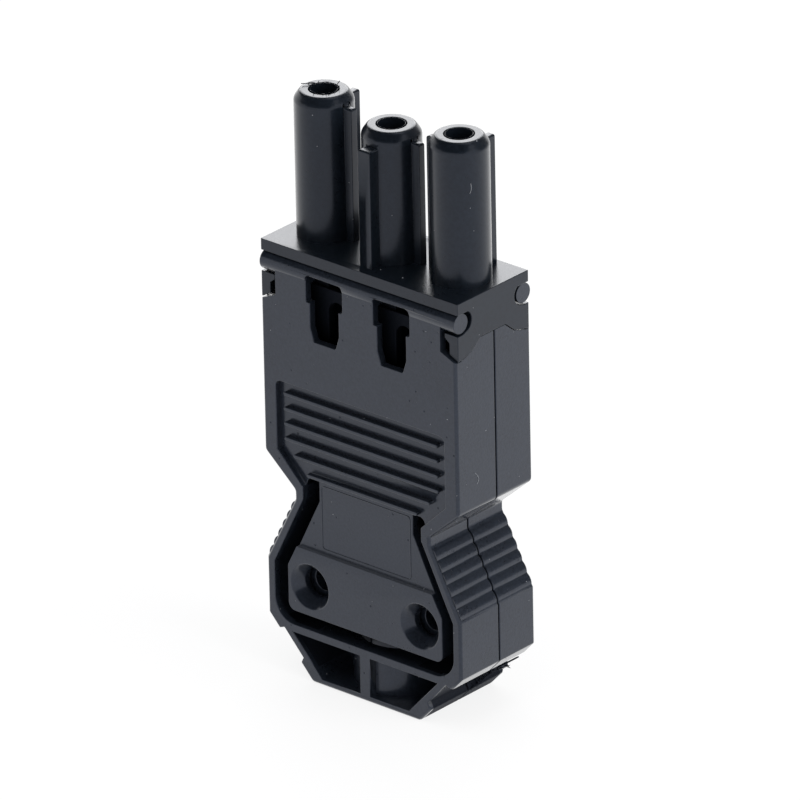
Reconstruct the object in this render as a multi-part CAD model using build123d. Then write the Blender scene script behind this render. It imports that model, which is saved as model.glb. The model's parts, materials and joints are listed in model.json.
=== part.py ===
from build123d import *
import math
import os

# Female installation connector with three poles, standing on the flat end of its nose.
# X runs across the width, Y from front to back and Z up, all in millimetres.
# The origin is the middle of the nose's flat end, half way through the depth.

# Poles
pole_names = ["neutral", "earth", "line"]
pole_pitch = 10.0
earth_pole = 1

# Shell outline, each height measured on from the one before
half_depth = 6.45
foot_half_width = 8.05
waist_half_width = 10.07
nose_slope_height = 7.0
nose_side_height = 7.0
side_grip_height = 8.4
waist_height = 1.15
shoulder_height = 3.85
body_height = 26.1
foot_radius = 0.8
waist_radius = 0.6
shoulder_radius = 0.8
face_edge_chamfer = 0.25

# Shell walls and the seam between the two halves
side_wall = 0.8
face_wall = 1.0
seam_y = 0.25
seam_gap = 0.2

# Bead along each shell's top edge, on which it hangs in the insert's notches
bead_radius = 1.2
bead_proud = 0.13
bead_end_gap = 0.06
bead_top_gap = 0.03

# Latch windows between the poles
window_top_half = 2.68
window_mid_half = 2.12
window_low_half = 1.6
window_top_drop = 2.5
window_step_drop = 5.8
window_taper_drop = 8.9
window_end_drop = 10.5
window_radius = 0.45

# Recessed grip field and its ribs
field_margin = 1.95
field_recess = 0.75
field_rise = 9.25
field_corner_rise = 0.6
field_radius = 0.7
rib_count = 6
rib_pitch = 1.86
rib_thickness = 0.48
rib_corner = 0.14
rib_face_drop = 0.04
rib_side_gap = 1.05
rib_slant_gap = 2.1
rib_top_drop = 1.45

# Wavy grips on the slanted sides
side_rib_count = 6
side_rib_height = 0.22
side_rib_inset = 0.3
side_rib_lead = 0.35

# Strain-relief tongue and the slot round it
slot_lip = 1.13
slot_waist_lip = 1.27
slot_width = 1.8
slot_foot_gap = 1.6
slot_knee_rise = 0.4
slot_top_rise = 1.75
slot_nose_drop = 0.25
slot_corner_radius = 2.8
slot_end_radius = 0.85
tongue_corner_radius = 1.0
tongue_wall = 1.05
pad_recess = 0.2
pad_step_rise = 2.4
pad_thickness = 2.05
saddle_rib_thickness = 1.0
saddle_rib_rises = [-1.6, 1.6]

# Clamp-screw holes, through the tongue and into the rear shell's bosses
screw_edge_distance = 3.32
screw_rise = 4.85
screw_hole_radius = 1.75
screw_mouth_radius = 2.8
screw_mouth_depth = 1.3
boss_radius = 2.9
boss_gap = 0.5
pilot_radius = 1.3
pilot_end = 0.95

# Nose: crossbar, pockets, web, side grooves and the cable channel
crossbar_top = 6.55
crossbar_thickness = 1.0
web_half = 0.78
foot_thickness = 0.8
groove_depth = 0.87
groove_start = 2.2
groove_end = 7.0
groove_flare = 0.35
pocket_wall = 0.85
pocket_back_wall = 0.9
channel_radius = 4.8
channel_wall = 0.9
cable_rib_radius = 4.4
cable_rib_height = 3.25
cable_rib_thickness = 1.0
cable_rib_rises = [-3.0, 0.0, 3.2]

# Insert: plate, tubes with their coding ribs, and end cheeks, whose faces stand out from the shells' sides
plate_side = 1.15
shell_side_inset = 0.12
plate_half_depth = 6.1
plate_thickness = 1.42
tube_radius = 3.45
tube_height = 17.54
earth_tube_drop = 1.5
tube_mouth_radius = 1.77
tube_lip = 1.4
tube_shoulder = 0.7
tube_shoulder_height = 1.0
coding_rib_thickness = 1.0
coding_rib_reach = 4.45
coding_rib_drop = 1.3
rear_rib_reach = 5.55
rear_rib_drop = 1.8
thick_rib_thickness = 1.75
thick_rib_reach = 4.85
thick_rib_drop = 1.75
cheek_thickness = 2.0
cheek_skirt = 1.3
cheek_step_drop = 4.55
cheek_bevel = 0.55
hook_drop = 6.15
hook_tip_drop = 6.95
hook_tip_rise = 0.1
hook_tip_inset = 1.1
hook_tip_radius = 0.6
cheek_flat_drop = 5.25
cheek_flat_half = 2.1
cheek_flat_radius = 0.2
cheek_valley_drop = 6.5
cheek_valley_half = 3.6
cheek_valley_radius = 0.8
notch_clearance = 0.12
notch_back_gap = 0.38
notch_top_gap = 0.15
cheek_shell_gap = 0.1
hook_side_gap = 0.35
shell_bevel = 0.97

# Terminal towers below the plate
tower_half_width = 3.45
tower_half_depth = 4.2
tower_neck_half_depth = 3.8
tower_neck_drop = 4.6
tower_drop = 18.0
tower_wall = 0.7
chamber_top_drop = 6.5
web_thickness = 1.2
web_foot_drop = 13.5
screw_access_radius = 2.45

# Contacts, their springs and the screw clamps
contact_clearance = 0.4
contact_radius = 1.95
pin_bore_radius = 1.5
contact_drop = 1.5
pin_depth = 18.5
contact_slit = 0.5
contact_slit_length = 10.0
collar_radius = 2.3
collar_rise = 0.6
collar_thickness = 2.2
tail_half_width = 1.7
tail_thickness = 1.0
tail_length = 10.5
tail_rooting = 0.5
tail_gap = 0.1
spring_clearance = 0.03
spring_thickness = 0.25
spring_height = 4.0
spring_drop = 3.0
spring_gap = 1.2
cage_clearance = 0.15
cage_wall = 0.7
cage_front_wall = 1.3
cage_back_gap = 0.02
cage_height = 5.6
cage_wire_gap = 2.85
cage_foot_rise = 2.7
clamp_screw_radius = 1.48
clamp_thread_radius = 1.5
clamp_screw_reach = 1.0
clamp_head_radius = 2.3
clamp_head_height = 1.35
clamp_head_gap = 0.1
clamp_slot_width = 0.6
clamp_slot_depth = 0.6
guard_thickness = 0.3
guard_half_width = 1.5
guard_gap = 0.05
guard_overhang = 1.5

# Webs between the towers, behind the windows, each with an arched slot for a latch
latch_web_thickness = 1.0
latch_web_drop = 13.0
latch_arch_drop = 6.05
latch_arch_radius = 1.25

# Heights and places that follow from the sizes above
plate_half_width = (len(pole_names) - 1 - earth_pole) * pole_pitch + tower_half_width + plate_side
half_width = plate_half_width - shell_side_inset
nose_slope_z = nose_slope_height
nose_top_z = nose_slope_z + nose_side_height
waist_low_z = nose_top_z + side_grip_height
waist_high_z = waist_low_z + waist_height
shoulder_z = waist_high_z + shoulder_height
plate_top_z = shoulder_z + body_height
plate_low_z = plate_top_z - plate_thickness
bead_z = plate_low_z - bead_top_gap - bead_radius
bead_y = half_depth + bead_proud - bead_radius
screw_z = nose_slope_z + screw_rise
field_floor_y = half_depth - field_recess
pad_y = half_depth - pad_recess
pad_back_y = pad_y - pad_thickness
slot_half = half_width - slot_lip
screw_x = slot_half - slot_width - screw_edge_distance
slot_top_half = waist_half_width - slot_waist_lip
slot_top_z = waist_high_z + slot_top_rise
slot_knee_z = waist_low_z + slot_knee_rise
slot_nose_z = nose_top_z - slot_nose_drop
field_top_z = shoulder_z + field_rise
field_low_z = slot_top_z - slot_width / 2
tower_low_z = plate_top_z - tower_drop
chamber_top_z = plate_top_z - chamber_top_drop
chamber_half_depth = tower_half_depth - tower_wall
chamber_half_width = tower_half_width - tower_wall
contact_bore_radius = contact_radius + contact_clearance
tail_back_y = contact_radius
tail_face_y = tail_back_y - tail_thickness
cage_low_z = tower_low_z + cage_foot_rise
clamp_screw_z = cage_low_z + cage_height / 2

# Cuts run past a face, and joined forms run a little into each other
far = 100.0
overrun = 1.0
overlap = 0.3
sliver = 0.01


def pole_x(index):
    return (index - earth_pole) * pole_pitch


def tube_top(index):
    return plate_top_z + tube_height - (earth_tube_drop if index == earth_pole else 0)


def mirrored(half):
    # A closed outline from its right half, which runs from top to bottom
    return half + [(-x, z, r) for x, z, r in reversed(half)]


def outline(corners):
    # A flat face from (across, up, corner radius) triples
    line = FilletPolyline(
        *[(x, z) for x, z, r in corners],
        radius=[r for x, z, r in corners],
        close=True,
    )
    return make_face(line)


def front_prism(face, near_y, far_y):
    # A front-view face, carried from one depth to another
    return extrude(Plane((0, far_y, 0), x_dir=(1, 0, 0), z_dir=(0, -1, 0)) * face, far_y - near_y)


def side_prism(face, left_x, right_x):
    # A side-view face of (depth, height) points, carried across the width
    return extrude(Plane((left_x, 0, 0), x_dir=(0, 1, 0), z_dir=(1, 0, 0)) * face, right_x - left_x)


def block(x0, x1, y0, y1, z0, z1):
    return Pos((x0 + x1) / 2, (y0 + y1) / 2, (z0 + z1) / 2) * Box(x1 - x0, y1 - y0, z1 - z0)


def upright(radius, z0, z1, x=0.0, y=0.0):
    return Pos(x, y, (z0 + z1) / 2) * Cylinder(radius, z1 - z0)


def level_front(radius, y0, y1, x, z):
    # A cylinder along the depth
    return Pos(x, (y0 + y1) / 2, z) * Rot(90, 0, 0) * Cylinder(radius, y1 - y0)


def level_across(radius, x0, x1, y, z):
    # A cylinder across the width
    return Pos((x0 + x1) / 2, y, z) * Rot(0, 90, 0) * Cylinder(radius, x1 - x0)


def both_sides(shape):
    return [shape, mirror(shape, about=Plane.YZ)]


def on_slope(distance, inset):
    # A point on the nose's right slope, so far down it and so far inside it
    run = half_width - foot_half_width
    length = math.hypot(run, nose_slope_z)
    along = (-run / length, -nose_slope_z / length)
    inward = (along[1], -along[0])
    return (
        half_width + distance * along[0] + inset * inward[0],
        nose_slope_z + distance * along[1] + inset * inward[1],
    )


def slope_x(z, inset):
    # How far across the nose's slope is at one height, moved in by an inset
    x0, z0 = on_slope(0, inset)
    x1, z1 = on_slope(1, inset)
    return x0 + (z - z0) * (x1 - x0) / (z1 - z0)


# Outlines in the front view


def shell_outline(top_z, rounding=1.0):
    # The outline's corners are rounded outside, and sharp in the hollow
    return outline(
        mirrored(
            [
                (half_width, top_z, 0),
                (half_width, shoulder_z, rounding * shoulder_radius),
                (waist_half_width, waist_high_z, rounding * waist_radius),
                (waist_half_width, waist_low_z, rounding * waist_radius),
                (half_width, nose_top_z, 0),
                (half_width, nose_slope_z, 0),
                (foot_half_width, 0, rounding * foot_radius),
            ]
        )
    )


def slot_outer():
    return outline(
        mirrored(
            [
                (slot_top_half, slot_top_z, slot_end_radius),
                (slot_top_half, slot_knee_z, 0),
                (slot_half, slot_nose_z, 0),
                (slot_half, crossbar_top, slot_corner_radius),
            ]
        )
    )


def tongue_outline(top_z, top_radius=0.0):
    return outline(
        mirrored(
            [
                (slot_top_half - slot_width, top_z, top_radius),
                (slot_top_half - slot_width, slot_knee_z, 0),
                (slot_half - slot_width, slot_nose_z, 0),
                (slot_half - slot_width, crossbar_top + slot_foot_gap, tongue_corner_radius),
            ]
        )
    )


def field_outline():
    edge = half_width - field_margin
    return outline(
        mirrored(
            [
                (edge, field_top_z, field_radius),
                (edge, shoulder_z + field_corner_rise, 0),
                (slot_top_half, field_low_z, 0),
            ]
        )
    )


def window_outline(x):
    top = plate_top_z - window_top_drop
    half = [
        (window_top_half, top, window_radius),
        (window_top_half, plate_top_z - window_step_drop, window_radius / 2),
        (window_mid_half, plate_top_z - window_step_drop, 0),
        (window_mid_half, plate_top_z - window_taper_drop, 0),
        (window_low_half, plate_top_z - window_end_drop, window_radius / 2),
    ]
    return Pos(x, 0) * outline(mirrored(half))


def pocket_outline():
    top = crossbar_top - crossbar_thickness
    inset = groove_depth + pocket_wall
    return Polygon(
        (web_half, foot_thickness),
        (slope_x(foot_thickness, inset), foot_thickness),
        (slope_x(top, inset), top),
        (web_half, top),
        align=None,
    )


def groove_outline():
    return Polygon(
        on_slope(groove_start, -groove_depth),
        on_slope(groove_start, 0),
        on_slope(groove_start + groove_flare, groove_depth),
        on_slope(groove_end - groove_flare, groove_depth),
        on_slope(groove_end, 0),
        on_slope(groove_end, -groove_depth),
        align=None,
    )


# Features that both shells share, drawn for the front half: outwards is -Y


def side_ribs(seam):
    # Rounded ribs up the slanted sides, from near the outer face to the seam
    start = Vector(half_width, nose_top_z)
    end = Vector(waist_half_width, waist_low_z)
    along = (end - start).normalized()
    outward = Vector(along.Y, -along.X)
    pitch = ((end - start).length - 2 * side_rib_lead) / side_rib_count
    ribs = []
    for index in range(side_rib_count):
        low = start + along * (side_rib_lead + index * pitch)
        high = low + along * pitch
        crest = (low + high) / 2 + outward * side_rib_height
        root = (low + high) / 2 - outward * side_wall / 2
        arc = ThreePointArc(low, crest, high)
        rib = make_face(arc + Polyline(high, root, low))
        ribs += both_sides(front_prism(rib, -half_depth + side_rib_inset, seam))
    return ribs


def rib_half_length(z):
    # Each rib stops short of the field's upright side, or of its slanted lower corner
    edge = half_width - field_margin
    slant_rise = shoulder_z + field_corner_rise - field_low_z
    slant_x = slot_top_half + (z - field_low_z) * (edge - slot_top_half) / slant_rise
    return min(edge - rib_side_gap, slant_x - rib_slant_gap)


def field_ribs():
    ribs = []
    for index in range(rib_count):
        z = field_top_z - rib_top_drop - index * rib_pitch
        bar = Rectangle(2 * rib_half_length(z), rib_thickness)
        face = Pos(0, z) * chamfer(bar.vertices(), rib_corner)
        ribs.append(front_prism(face, -half_depth + rib_face_drop, -field_floor_y + face_wall / 2))
    return ribs


def shell_blank(cable_y):
    # The moulding's outer form, hollowed from the seam, with its nose block and grip field
    seam = cable_y - seam_gap / 2
    body = front_prism(shell_outline(bead_z), -half_depth, seam)
    face_edges = body.faces().sort_by(Axis.Y)[0].edges().filter_by(lambda e: e.center().Z < bead_z - sliver)
    body = chamfer(face_edges, face_edge_chamfer)
    inner = offset(shell_outline(bead_z + far, 0), -side_wall, kind=Kind.INTERSECTION)
    hollow = front_prism(inner, -half_depth + face_wall, far)
    hollow &= block(-far, far, -far, far, crossbar_top, far)
    body -= hollow
    backing = block(-half_width, half_width, -half_depth, -field_floor_y + face_wall, slot_top_z - overlap, far)
    backing &= block(-far, far, -far, far, 0, field_top_z + face_wall)
    body += backing & hollow
    body += side_ribs(seam)
    body -= both_sides(front_prism(groove_outline(), -far, far))
    pockets = front_prism(pocket_outline(), -far, seam - pocket_back_wall)
    pockets -= upright(channel_radius + channel_wall, -far, far, y=cable_y)
    body -= both_sides(pockets)
    body -= upright(channel_radius, -far, crossbar_top + sliver, y=cable_y)
    body -= front_prism(field_outline(), -far, -field_floor_y)
    body += field_ribs()
    return body


def top_edge(body):
    # Cuts the corners clear of the insert's cheeks and adds the bead
    corner_x = plate_half_width - cheek_thickness - hook_side_gap
    run = half_width - corner_x
    hook_z = plate_top_z - hook_drop - cheek_shell_gap
    corner = Polygon(
        (corner_x, far),
        (corner_x, hook_z),
        (corner_x + 2 * run, hook_z - 2 * shell_bevel),
        (corner_x + 2 * run, far),
        align=None,
    )
    body -= both_sides(front_prism(corner, -far, -half_depth + face_wall + sliver))
    over_cheek = side_prism(cheek_side_outline(2 * half_depth, cheek_shell_gap), corner_x, far)
    over_cheek &= block(-far, far, -half_depth + face_wall, far, -far, far)
    body -= both_sides(over_cheek)
    bead_half = half_width - bead_end_gap
    return body + level_across(bead_radius, -bead_half, bead_half, -bead_y, bead_z)


def cheek_side_outline(reach, grow=0.0):
    # The cheek in the side view: a flat over the seam, and a hook at front and back
    tip = plate_top_z - hook_tip_drop - grow
    valley_z = plate_top_z - cheek_valley_drop - grow
    flat_z = plate_top_z - cheek_flat_drop - grow
    return outline(
        mirrored(
            [
                (reach, plate_top_z, 0),
                (reach, tip + hook_tip_rise, 0),
                (plate_half_depth - hook_tip_inset, tip, hook_tip_radius),
                (cheek_valley_half, valley_z, cheek_valley_radius),
                (cheek_flat_half, flat_z, cheek_flat_radius),
            ]
        )
    )


# The pieces


def tongue(pad_top_z):
    # A thin leaf above and a thicker pad below, both cut free by the slot
    root = Pos(0, slot_top_z - slot_width / 2) * Rectangle(2 * (slot_top_half - slot_width), 2 * slot_width)
    pad_zone = block(-far, far, -far, far, 0, pad_top_z)
    body = front_prism(tongue_outline(slot_top_z), -half_depth, -field_floor_y + tongue_wall)
    body += front_prism(tongue_outline(slot_top_z), -half_depth, -pad_back_y) & pad_zone
    return body + front_prism(root, -field_floor_y, -field_floor_y + face_wall)


def front_shell():
    pad_top_z = nose_top_z + pad_step_rise
    body = shell_blank(seam_y)
    body -= front_prism(slot_outer(), -far, -field_floor_y + face_wall + sliver)
    body += tongue(pad_top_z)
    above_leaf = front_prism(tongue_outline(slot_top_z + overlap), -far, -field_floor_y)
    body -= above_leaf - block(-far, far, -pad_y, far, 0, pad_top_z)
    body += saddle_ribs()
    for x in (-screw_x, screw_x):
        body -= level_front(screw_hole_radius, -far, -pad_back_y + overrun, x, screw_z)
        mouth = Cone(screw_mouth_radius, screw_hole_radius, screw_mouth_depth)
        body -= Pos(x, -pad_y + screw_mouth_depth / 2, screw_z) * Rot(-90, 0, 0) * mouth
    body = top_edge(body)
    for x in (-pole_pitch / 2, pole_pitch / 2):
        body -= front_prism(window_outline(x), -far, -bead_y + bead_radius + overrun)
    return body


def saddle_ribs():
    # Cross ribs behind the tongue, hollowed to the cable
    ribs = []
    for rise in saddle_rib_rises:
        z = screw_z + rise
        rib = block(
            -channel_radius,
            channel_radius,
            -pad_back_y - overlap,
            -pad_back_y + cable_rib_height / 2,
            z - saddle_rib_thickness / 2,
            z + saddle_rib_thickness / 2,
        )
        ribs.append(rib - upright(cable_rib_radius, -far, far, y=seam_y))
    return ribs


def rear_shell():
    body = shell_blank(-seam_y)
    body = top_edge(body)
    body = mirror(body, about=Plane.XZ)
    inner_y = half_depth - face_wall
    for x in (-screw_x, screw_x):
        boss = level_front(boss_radius, -pad_back_y + boss_gap, inner_y + overlap, x, screw_z)
        pilot = level_front(pilot_radius, -far, inner_y - pilot_end, x, screw_z)
        body += boss - pilot
    for rise in cable_rib_rises:
        z = screw_z + rise
        rib = block(
            -channel_radius,
            channel_radius,
            inner_y - cable_rib_height,
            inner_y + overlap,
            z - cable_rib_thickness / 2,
            z + cable_rib_thickness / 2,
        )
        body += rib - upright(cable_rib_radius, -far, far, y=seam_y)
    return body


def tube(index):
    # One socket tube, turned up from the plate, with a stepped shoulder at its top
    top = tube_top(index)
    profile = Polygon(
        (0, plate_low_z),
        (tube_radius, plate_low_z),
        (tube_radius, top - tube_shoulder_height),
        (tube_radius - tube_shoulder, top),
        (0, top),
        align=None,
    )
    return Pos(pole_x(index), 0, 0) * revolve(Plane.XZ * profile, Axis.Z)


def coding_ribs():
    # Upright ribs that let only the right mate on: one to the side and one behind
    half = coding_rib_thickness / 2
    ribs = []
    for index, side in ((0, 1), (1, 1), (2, -1)):
        x = pole_x(index)
        top = tube_top(index) - coding_rib_drop
        ends = sorted((x, x + side * coding_rib_reach))
        ribs.append(block(ends[0], ends[1], -half, half, plate_low_z, top))
    for index in (0, 2):
        x = pole_x(index)
        top = tube_top(index) - rear_rib_drop
        ribs.append(block(x - half, x + half, 0, rear_rib_reach, plate_low_z, top))
    thick = thick_rib_thickness / 2
    top = tube_top(earth_pole) - thick_rib_drop
    ribs.append(block(-thick, thick, -thick_rib_reach, 0, plate_low_z, top))
    return ribs


def cheek():
    # The right end cheek: a hooked skirt with notches for both beads
    inner = plate_half_width - cheek_thickness
    skirt = plate_half_width - cheek_skirt
    step_z = plate_top_z - cheek_step_drop
    face = Polygon(
        (inner, plate_top_z),
        (inner, step_z),
        (skirt, step_z - cheek_bevel),
        (skirt, plate_top_z - hook_drop),
        (plate_half_width, plate_top_z - hook_tip_drop),
        (plate_half_width, plate_top_z),
        align=None,
    )
    body = front_prism(face, -plate_half_depth, plate_half_depth)
    body &= side_prism(cheek_side_outline(plate_half_depth), inner, plate_half_width)
    radius = bead_radius + notch_clearance
    for side in (-1, 1):
        y = side * bead_y
        body -= level_across(radius, 0, far, y, bead_z)
        body -= level_across(radius, 0, far, y - side * notch_back_gap, bead_z + notch_top_gap)
        ends = sorted((y, side * far))
        body -= block(0, far, ends[0], ends[1], bead_z - radius, plate_low_z)
    return body


def tower(index):
    # One pole's terminal tower with its chamber, open below for the core
    x = pole_x(index)
    neck_z = plate_top_z - tower_neck_drop
    w, d = tower_half_width, tower_half_depth
    body = block(x - w, x + w, -d, d, tower_low_z, neck_z)
    return body + block(x - w, x + w, -tower_neck_half_depth, tower_neck_half_depth, neck_z, plate_low_z)


def pole_hollow(index):
    # What is cut away inside one pole: chamber, contact bore, mouth and screw access
    x = pole_x(index)
    w, d = chamber_half_width, chamber_half_depth
    hollow = block(x - w, x + w, -d, d, tower_low_z - overrun, chamber_top_z)
    hollow += upright(contact_bore_radius, chamber_top_z - overrun, tube_top(index) - tube_lip, x)
    hollow += upright(tube_mouth_radius, chamber_top_z, tube_top(index) + overrun, x)
    return hollow + level_front(screw_access_radius, -far, 0, x, clamp_screw_z)


def latch_web(x):
    # A web across the gap between two towers, with an arch-topped slot open below
    half_gap = pole_pitch / 2 - tower_half_width
    near_y = -tower_half_depth
    far_y = near_y + latch_web_thickness
    web_low = plate_top_z - latch_web_drop
    web = block(x - half_gap, x + half_gap, near_y, far_y, web_low, plate_top_z - tower_neck_drop)
    arch_z = plate_top_z - latch_arch_drop - latch_arch_radius
    web -= level_front(latch_arch_radius, -far, far_y + overrun, x, arch_z)
    half_slot = latch_arch_radius
    return web - block(x - half_slot, x + half_slot, -far, far_y + overrun, web_low - overrun, arch_z)


def socket_insert():
    body = block(
        -plate_half_width, plate_half_width, -plate_half_depth, plate_half_depth, plate_low_z, plate_top_z
    )
    body += both_sides(cheek())
    body += [tube(index) for index in range(len(pole_names))]
    body += coding_ribs()
    body += [tower(index) for index in range(len(pole_names))]
    web_x = pole_x(len(pole_names) - 1)
    web_y = tower_neck_half_depth - web_thickness
    body += block(-web_x, web_x, web_y, tower_neck_half_depth, plate_top_z - web_foot_drop, plate_low_z)
    body += [latch_web(x) for x in (-pole_pitch / 2, pole_pitch / 2)]
    for index in range(len(pole_names)):
        body -= pole_hollow(index)
    return body


def contact_top(index):
    return tube_top(index) - contact_drop


def socket_contact(index):
    # Slit sleeve, collar and flat tail of one pole, turned and milled from brass
    x = pole_x(index)
    top = contact_top(index)
    floor_z = top - pin_depth
    collar_z = chamber_top_z + collar_rise
    body = upright(contact_radius, collar_z, top, x)
    body += upright(collar_radius, collar_z, collar_z + collar_thickness, x)
    tail_top = collar_z + tail_rooting
    tail = block(
        x - tail_half_width, x + tail_half_width, tail_face_y, tail_back_y, tail_top - tail_length, tail_top
    )
    below = block(-far, far, -far, far, -far, chamber_top_z - tail_gap)
    body += tail & (upright(contact_radius, -far, far, x) + below)
    body -= upright(pin_bore_radius, floor_z, top + overrun, x)
    slit = contact_slit / 2
    low = top - contact_slit_length
    body -= block(x - slit, x + slit, -far, far, low, far)
    return body


def contact_spring(index):
    # Open steel ring round the slit sleeve
    x = pole_x(index)
    inner = contact_radius + spring_clearance
    top = contact_top(index) - spring_drop
    ring = upright(inner + spring_thickness, top - spring_height, top, x)
    ring -= upright(inner, -far, far, x)
    return ring - block(x, x + far, -spring_gap / 2, spring_gap / 2, -far, far)


def clamp_cage(index):
    # Box clamp: the tail lies along its back wall and the screw comes through its front
    x = pole_x(index)
    w = chamber_half_width - cage_clearance
    back_y = tail_back_y + cage_back_gap
    front_y = tail_face_y - cage_wire_gap
    z0, z1 = cage_low_z, cage_low_z + cage_height
    body = block(x - w, x + w, front_y - cage_front_wall, back_y + cage_wall, z0, z1)
    body -= block(x - w + cage_wall, x + w - cage_wall, front_y, back_y, z0 - overrun, z1 + overrun)
    return body - level_front(clamp_thread_radius, -far, 0, x, clamp_screw_z)


def clamp_screw(index):
    # Slotted cheese-head screw, turned in from the front
    x = pole_x(index)
    front_y = tail_face_y - cage_wire_gap
    under_head = front_y - cage_front_wall - clamp_head_gap
    head_y = under_head - clamp_head_height
    body = level_front(clamp_screw_radius, under_head - overlap, front_y + clamp_screw_reach, x, clamp_screw_z)
    body += level_front(clamp_head_radius, head_y, under_head, x, clamp_screw_z)
    slot_low = clamp_screw_z - clamp_slot_width / 2
    slot_high = clamp_screw_z + clamp_slot_width / 2
    return body - block(x - far, x + far, -far, head_y + clamp_slot_depth, slot_low, slot_high)


def wire_guard(index):
    # Bent leaf that lies under the screw's tip and hangs on the tail's face
    x = pole_x(index)
    leaf_y = tail_face_y - cage_wire_gap + clamp_screw_reach + guard_gap
    top = cage_low_z + cage_height + guard_overhang
    w = guard_half_width
    leaf = block(x - w, x + w, leaf_y, leaf_y + guard_thickness, cage_low_z, top)
    return leaf + block(x - w, x + w, leaf_y, tail_face_y - guard_gap, top - guard_thickness, top)


def save(name, shape):
    solids = shape.solids()
    export_step(solids[0] if len(solids) == 1 else Compound(solids), f"parts/{name}.step")


os.makedirs("parts", exist_ok=True)
save("socket_insert", socket_insert())
save("front_shell", front_shell())
save("rear_shell", rear_shell())
for index, pole in enumerate(pole_names):
    save(f"socket_contact_{pole}", socket_contact(index))
    save(f"contact_spring_{pole}", contact_spring(index))
    save(f"clamp_cage_{pole}", clamp_cage(index))
    save(f"clamp_screw_{pole}", clamp_screw(index))
    save(f"wire_guard_{pole}", wire_guard(index))
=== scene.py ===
"""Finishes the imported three-pole connector and its stage: mouldings, contacts, clamps and fine detail."""

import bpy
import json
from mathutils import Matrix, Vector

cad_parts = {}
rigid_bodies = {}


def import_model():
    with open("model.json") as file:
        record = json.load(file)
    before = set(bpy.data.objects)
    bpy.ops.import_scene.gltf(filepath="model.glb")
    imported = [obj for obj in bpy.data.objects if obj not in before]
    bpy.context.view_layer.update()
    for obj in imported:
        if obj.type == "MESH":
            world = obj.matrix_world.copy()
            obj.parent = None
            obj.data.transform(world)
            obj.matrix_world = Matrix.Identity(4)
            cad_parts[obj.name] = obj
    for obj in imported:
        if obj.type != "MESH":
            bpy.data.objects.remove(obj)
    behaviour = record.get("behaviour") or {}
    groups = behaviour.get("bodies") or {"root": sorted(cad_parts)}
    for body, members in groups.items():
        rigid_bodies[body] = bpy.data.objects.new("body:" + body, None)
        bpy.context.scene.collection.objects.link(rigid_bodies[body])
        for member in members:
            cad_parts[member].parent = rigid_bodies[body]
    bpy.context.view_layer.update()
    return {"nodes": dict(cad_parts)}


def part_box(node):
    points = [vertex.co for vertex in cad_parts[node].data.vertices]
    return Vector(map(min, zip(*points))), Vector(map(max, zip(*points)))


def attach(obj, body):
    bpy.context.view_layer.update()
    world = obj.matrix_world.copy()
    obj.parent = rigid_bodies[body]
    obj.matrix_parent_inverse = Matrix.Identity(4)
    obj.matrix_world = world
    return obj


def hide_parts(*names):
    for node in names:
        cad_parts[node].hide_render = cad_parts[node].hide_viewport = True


bl_info = {
    "name": "Installation Connector",
    "version": (1, 0, 0),
    "blender": (4, 5, 0),
    "location": "View3D > Sidebar > Connector",
    "description": "Finishes a three-pole female installation connector and its stage",
    "category": "Object",
}

import json
import math

import bmesh
import bpy
from bpy.props import FloatProperty, FloatVectorProperty, IntProperty, PointerProperty
from bpy.types import Operator, Panel, PropertyGroup
from mathutils import Matrix, Vector

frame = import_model()

POLES = ("neutral", "earth", "line")
BODY = "root"

# Points closer than this are one, faces that turn less are one, and edges that turn more are sharp
WELD = 1e-6
FLAT = 0.01
SHARP = math.radians(34)


# Places read from the frame


def high(node):
    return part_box(node)[1]


def middle(node):
    return [(a + b) / 2 for a, b in zip(*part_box(node))]


POLE_X = {pole: middle(f"socket_contact_{pole}")[0] for pole in POLES}


def reach(point):
    """A point's distance from the axis of the nearest pole."""
    return min(math.hypot(point.x - x, point.y) for x in POLE_X.values())


# Shader and geometry graphs


class Wire:
    """A node's output that can stand in an expression: each operator adds a Math node."""

    def __init__(self, graph, socket):
        self.graph = graph
        self.socket = socket

    def maths(self, operation, first, second=0.0):
        return self.graph.node("ShaderNodeMath", {"operation": operation}, {0: first, 1: second})

    def __add__(self, other):
        return self.maths("ADD", self, other)

    def __radd__(self, other):
        return self.maths("ADD", other, self)

    def __sub__(self, other):
        return self.maths("SUBTRACT", self, other)

    def __rsub__(self, other):
        return self.maths("SUBTRACT", other, self)

    def __mul__(self, other):
        return self.maths("MULTIPLY", self, other)

    def __rmul__(self, other):
        return self.maths("MULTIPLY", other, self)

    def __abs__(self):
        return self.maths("ABSOLUTE", self)

    def __gt__(self, other):
        return self.maths("GREATER_THAN", self, other)

    def __lt__(self, other):
        return self.maths("LESS_THAN", self, other)

    def output(self, key):
        """Another output of the same node."""
        return Wire(self.graph, self.socket.node.outputs[key])


class Graph:
    """Adds nodes to a tree: one method takes a node's type, its settings and its inputs."""

    def __init__(self, tree):
        self.tree = tree

    def node(self, kind, settings=None, inputs=None, output=0):
        made = self.tree.nodes.new(kind)
        for name, value in (settings or {}).items():
            setattr(made, name, value)
        for key, value in (inputs or {}).items():
            if isinstance(value, Wire):
                self.tree.links.new(value.socket, made.inputs[key])
            else:
                made.inputs[key].default_value = value
        return Wire(self, made.outputs[output]) if made.outputs else None

    def join(self, joint, *parts):
        """Links each part to a Join Geometry node's one input."""
        for part in parts:
            self.tree.links.new(part.socket, joint.socket.node.inputs[0])


def new_material(name):
    material = bpy.data.materials.new(name)
    material.use_nodes = True
    material.node_tree.nodes.clear()
    return material, Graph(material.node_tree)


def object_place(graph):
    return graph.node("ShaderNodeTexCoord", output="Object")


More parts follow.
